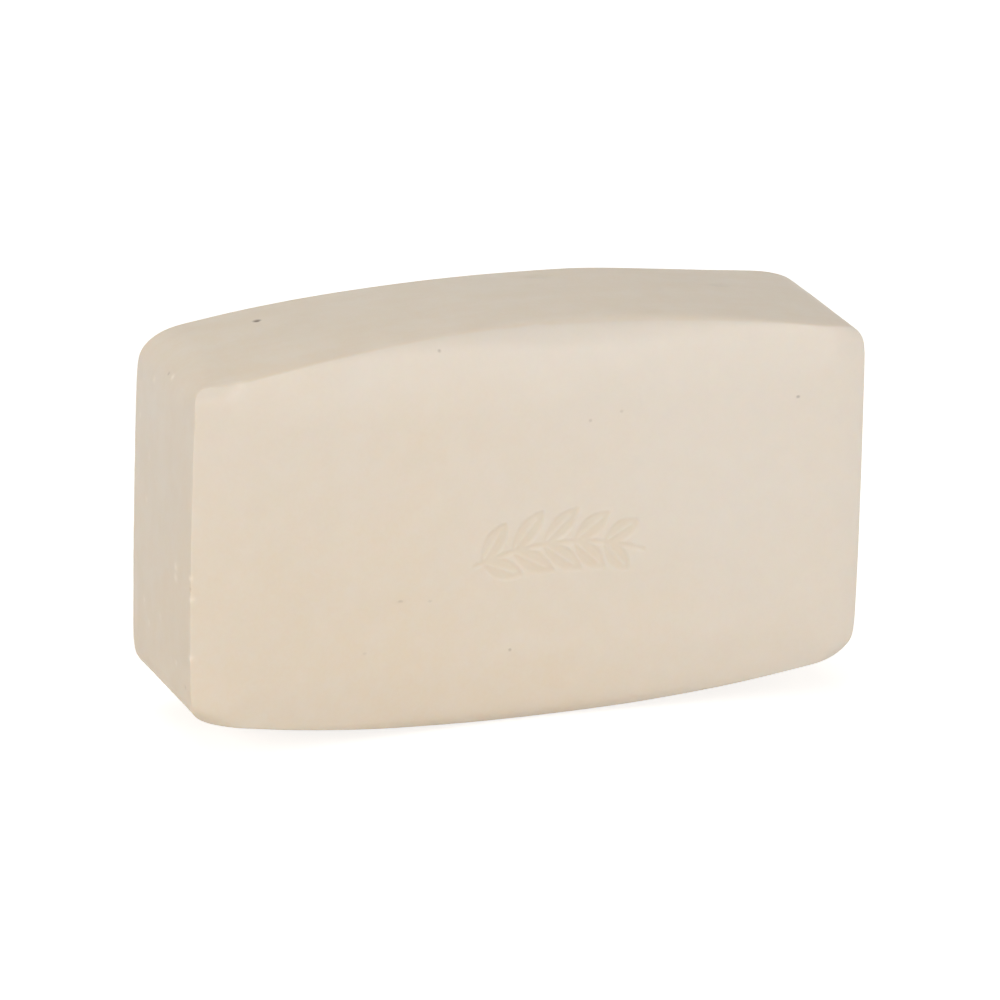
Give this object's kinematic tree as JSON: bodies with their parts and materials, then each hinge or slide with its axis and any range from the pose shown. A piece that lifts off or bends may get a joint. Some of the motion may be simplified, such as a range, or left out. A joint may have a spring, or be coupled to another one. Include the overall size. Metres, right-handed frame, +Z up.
{
  "type": "bar of soap",
  "caption": "Cream toilet soap bar with bowed long sides, square ends, pillowed broad faces and a crisp flash line, standing on its long flank.",
  "frame": {"origin": "middle of the bar's footprint, on the surface that its long flank stands on", "axes": "+X along the bar, +Y through its thickness from the front face to the back face, +Z up across its width"},
  "size_m": [0.0936, 0.0264, 0.0545],
  "materials": {
    "soap": "satin milled soap, warm cream"
  },
  "bodies": {
    "root": {"soap_bar": "soap"}
  },
  "joints": []
}
